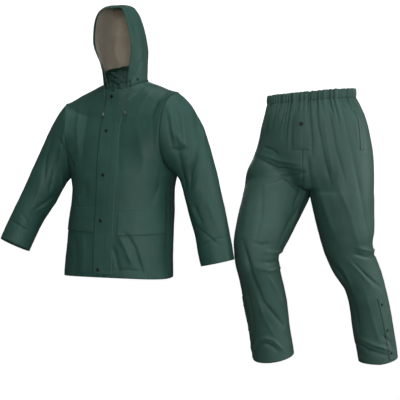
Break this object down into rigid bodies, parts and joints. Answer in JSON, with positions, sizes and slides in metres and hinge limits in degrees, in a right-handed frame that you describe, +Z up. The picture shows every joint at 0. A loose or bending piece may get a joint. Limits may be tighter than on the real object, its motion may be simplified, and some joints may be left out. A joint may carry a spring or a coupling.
{
  "type": "hooded rain jacket and trousers",
  "caption": "Rain suit: hooded jacket with storm flap and matching elastic-waist trousers, hollow and open as worn, to be held up by a wearer.",
  "frame": {"origin": "middle of the jacket's neck, at the height of the neck seam's sides, where a wearer's shoulders hold it", "axes": "+Z up, -Y towards the side that shows, +X to the right of it: the trousers stand on the +X side of the jacket; both fronts are turned towards -X, the jacket by 20 degrees and the trousers by 19"},
  "size_m": [1.517, 0.3587, 1.3566],
  "materials": {
    "rain_cloth": "coated, semi-matt",
    "snap_metal": "dark, satin",
    "stopper_plastic": "satin",
    "cord_fabric": "matt braid"
  },
  "bodies": {
    "root": {"ankle_snap_left_1": "snap_metal", "ankle_snap_left_2": "snap_metal", "ankle_snap_left_3": "snap_metal", "ankle_snap_right_1": "snap_metal", "ankle_snap_right_2": "snap_metal", "ankle_snap_right_3": "snap_metal", "ankle_strip_left": "rain_cloth", "ankle_strip_right": "rain_cloth", "collar": "rain_cloth", "collar_snap": "snap_metal", "drawcord_left": "cord_fabric", "drawcord_right": "cord_fabric", "eyelet_left": "snap_metal", "eyelet_right": "snap_metal", "flap_snap_1": "snap_metal", "flap_snap_2": "snap_metal", "flap_snap_3": "snap_metal", "flap_snap_4": "snap_metal", "flap_snap_5": "snap_metal", "fly_button": "snap_metal", "fly_flap": "rain_cloth", "hood_left": "rain_cloth", "hood_right": "rain_cloth", "hood_snap": "snap_metal", "jacket_back": "rain_cloth", "jacket_front_left": "rain_cloth", "jacket_front_right": "rain_cloth", "pocket_flap_left": "rain_cloth", "pocket_flap_right": "rain_cloth", "side_tack": "snap_metal", "side_welt": "rain_cloth", "sleeve_left": "rain_cloth", "sleeve_right": "rain_cloth", "stopper_left": "stopper_plastic", "stopper_right": "stopper_plastic", "storm_flap": "rain_cloth", "trouser_back_left": "rain_cloth", "trouser_back_right": "rain_cloth", "trouser_front_left": "rain_cloth", "trouser_front_right": "rain_cloth", "waist_casing": "rain_cloth"}
  },
  "joints": []
}
